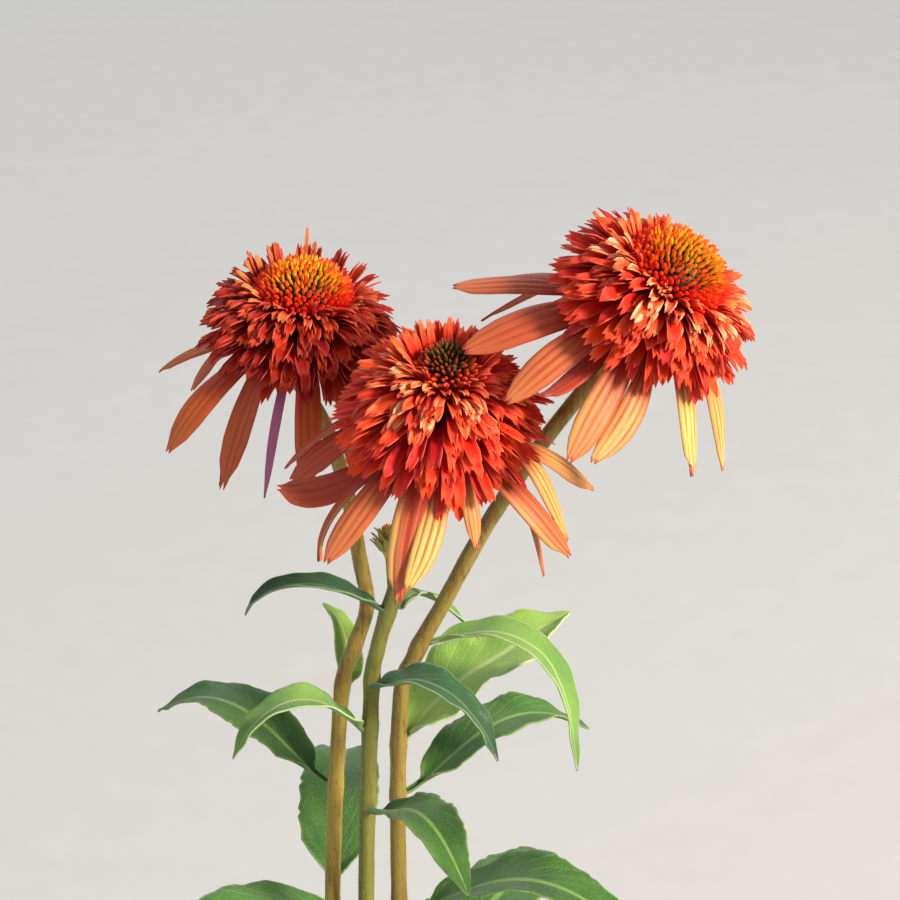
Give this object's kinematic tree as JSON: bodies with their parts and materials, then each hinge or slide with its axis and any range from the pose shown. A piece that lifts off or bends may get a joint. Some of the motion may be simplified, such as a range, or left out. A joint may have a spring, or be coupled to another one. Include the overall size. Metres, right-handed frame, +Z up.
{
  "type": "double coneflower plant in a nursery pot",
  "caption": "Double coneflower with drooping rays under dense pompom heads, on leafy stems standing in the soil of a round nursery pot.",
  "frame": {"origin": "middle of the pot's flat underside", "axes": "+Z up along the stems, the side shown in the picture faces -Y, +X is to its right"},
  "size_m": [0.2406, 0.245, 0.4883],
  "materials": {
    "pot": "satin",
    "soil": "matte",
    "stem": "satin",
    "bract": "satin",
    "leaf": "satin",
    "ray": "satin",
    "floret": "satin",
    "cone": "matte",
    "bud": "matte"
  },
  "bodies": {
    "root": {"bloom_a_bracts": "bract", "bloom_a_cone": "cone", "bloom_a_florets": "floret", "bloom_a_rays": "ray", "bloom_b_bracts": "bract", "bloom_b_cone": "cone", "bloom_b_florets": "floret", "bloom_b_rays": "ray", "bloom_c_bracts": "bract", "bloom_c_cone": "cone", "bloom_c_florets": "floret", "bloom_c_rays": "ray", "bud": "bud", "bud_stem": "stem", "crown_leaf_1": "leaf", "crown_leaf_2": "leaf", "crown_leaf_3": "leaf", "crown_leaf_4": "leaf", "crown_leaf_5": "leaf", "crown_leaf_6": "leaf", "crown_leaf_7": "leaf", "leaf_back_small": "leaf", "leaf_behind_thin": "leaf", "leaf_front_dark": "leaf", "leaf_left_dark": "leaf", "leaf_left_low": "leaf", "leaf_right_broad": "leaf", "leaf_right_long": "leaf", "pot": "pot", "soil": "soil", "stem_a": "stem", "stem_b": "stem", "stem_c": "stem", "stem_leaf_1": "leaf", "stem_leaf_10": "leaf", "stem_leaf_2": "leaf", "stem_leaf_3": "leaf", "stem_leaf_4": "leaf", "stem_leaf_5": "leaf", "stem_leaf_6": "leaf", "stem_leaf_7": "leaf", "stem_leaf_8": "leaf", "stem_leaf_9": "leaf"}
  },
  "joints": []
}
